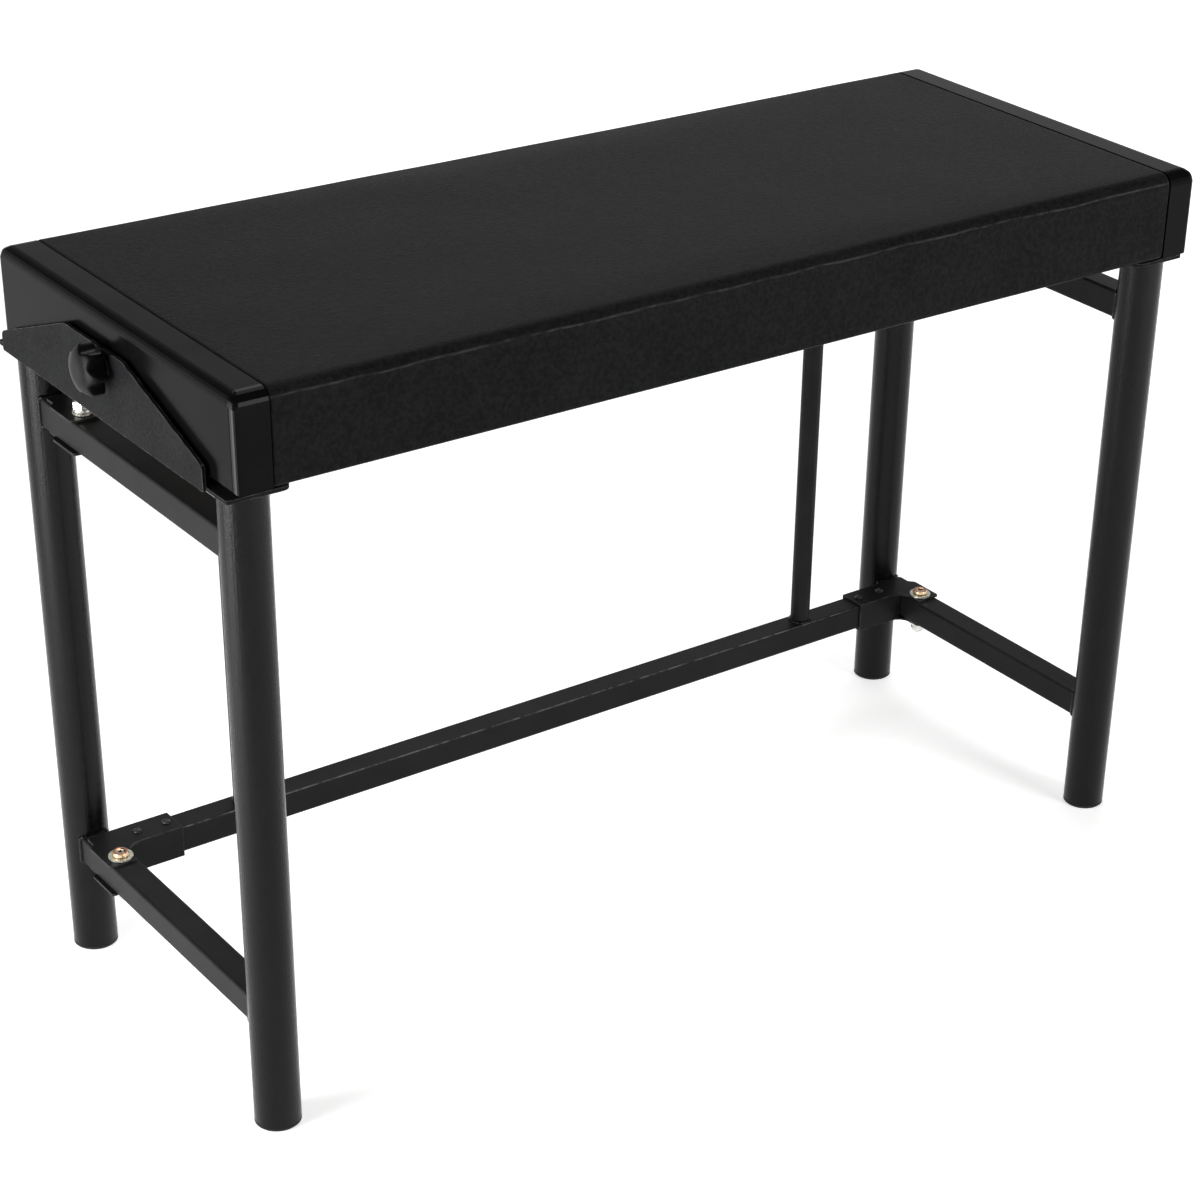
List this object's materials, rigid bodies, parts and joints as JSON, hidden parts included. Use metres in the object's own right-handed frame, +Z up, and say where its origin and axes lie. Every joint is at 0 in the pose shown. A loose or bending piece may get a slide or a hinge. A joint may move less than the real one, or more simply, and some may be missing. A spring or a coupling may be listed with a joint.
{
  "type": "keyboard bench",
  "caption": "Folding keyboard bench: a padded seat held by side knobs on a tubular steel frame whose end frames swing in on a rear crossbar.",
  "frame": {"origin": "on the floor, at the centre of the bench's bounding box in X and Y", "axes": "+X along the seat to its right end, +Y to the back where the crossbars are, +Z up; the front of the bench faces -Y"},
  "size_m": [0.7828, 0.295, 0.5041],
  "materials": {
    "frame": "fine textured black powder coat, semi-matt",
    "vinyl": "leather-grain black vinyl, low sheen",
    "plastic": "satin black moulded plastic",
    "screw": "blackened steel",
    "rubber": "matt black",
    "zinc": "bright zinc plate",
    "brass": "yellow-passivated zinc plate on steel",
    "plywood": "bare sanded plywood"
  },
  "bodies": {
    "rear_frame": {"lower_crossbar": "frame", "upper_crossbar": "frame", "left_upright": "frame", "left_lower_hinge_bracket": "frame", "left_lower_bracket_screw_inner": "screw", "left_lower_bracket_screw_outer": "screw", "left_lower_pivot_bolt": "brass", "left_lower_pivot_washer": "zinc", "left_lower_lock_nut": "zinc", "left_upper_hinge_bracket": "frame", "left_upper_bracket_screw_inner": "screw", "left_upper_bracket_screw_outer": "screw", "left_upper_pivot_bolt": "zinc", "left_upper_pivot_washer": "zinc", "left_upper_lock_nut": "zinc", "left_upper_spring_washer": "zinc", "right_upright": "frame", "right_lower_hinge_bracket": "frame", "right_lower_bracket_screw_inner": "screw", "right_lower_bracket_screw_outer": "screw", "right_lower_pivot_bolt": "brass", "right_lower_pivot_washer": "zinc", "right_lower_lock_nut": "zinc", "right_upper_hinge_bracket": "frame", "right_upper_bracket_screw_inner": "screw", "right_upper_bracket_screw_outer": "screw", "right_upper_pivot_bolt": "zinc", "right_upper_pivot_washer": "zinc", "right_upper_lock_nut": "zinc", "right_upper_spring_washer": "zinc"},
    "seat": {"seat_cushion": "vinyl", "seat_board": "plywood", "left_end_cap": "plastic", "right_end_cap": "plastic"},
    "left_side_frame": {"left_front_leg": "frame", "left_rear_leg": "frame", "left_lower_rail": "frame", "left_upper_rail": "frame", "left_seat_bracket": "frame", "left_front_foot": "rubber", "left_rear_foot": "rubber", "left_front_pad": "rubber", "left_rear_pad": "rubber", "left_clamp_nut": "zinc"},
    "left_knob_washer": {"left_knob_washer": "zinc"},
    "left_knob": {"left_knob": "plastic"},
    "right_side_frame": {"right_front_leg": "frame", "right_rear_leg": "frame", "right_lower_rail": "frame", "right_upper_rail": "frame", "right_seat_bracket": "frame", "right_front_foot": "rubber", "right_rear_foot": "rubber", "right_front_pad": "rubber", "right_rear_pad": "rubber", "right_clamp_nut": "zinc"},
    "right_knob_washer": {"right_knob_washer": "zinc"},
    "right_knob": {"right_knob": "plastic"}
  },
  "joints": [
    {"name": "seat_lift", "type": "slide", "parent": "rear_frame", "child": "seat", "axis": [0, 0, 1], "range_m": [0, 0.54]},
    {"name": "left_fold", "type": "hinge", "parent": "rear_frame", "child": "left_side_frame", "pos_m": [-0.3525, 0.078, 0.24], "axis": [0, 0, 1], "range_deg": [0, 89]},
    {"name": "left_knob_travel", "type": "slide", "parent": "left_side_frame", "child": "left_knob_washer", "axis": [-1, 0, 0], "range_m": [0, 0.0038]},
    {"name": "left_knob_turn", "type": "hinge", "parent": "left_knob_washer", "child": "left_knob", "pos_m": [-0.3765, -0.0025, 0.4735], "axis": [-1, 0, 0], "range_deg": [0, 1080]},
    {"name": "right_fold", "type": "hinge", "parent": "rear_frame", "child": "right_side_frame", "pos_m": [0.3525, 0.078, 0.24], "axis": [0, 0, 1], "range_deg": [-89, 0]},
    {"name": "right_knob_travel", "type": "slide", "parent": "right_side_frame", "child": "right_knob_washer", "axis": [1, 0, 0], "range_m": [0, 0.0038]},
    {"name": "right_knob_turn", "type": "hinge", "parent": "right_knob_washer", "child": "right_knob", "pos_m": [0.3765, -0.0025, 0.4735], "axis": [1, 0, 0], "range_deg": [0, 1080]}
  ],
  "couplings": [
    {"joint": "left_fold", "follows": "seat_lift", "rad_per_m": 2.8765},
    {"joint": "left_knob_travel", "follows": "left_knob_turn", "m_per_rad": 0.0001989},
    {"joint": "right_fold", "follows": "seat_lift", "rad_per_m": -2.8765},
    {"joint": "right_knob_travel", "follows": "right_knob_turn", "m_per_rad": 0.0001989}
  ]
}
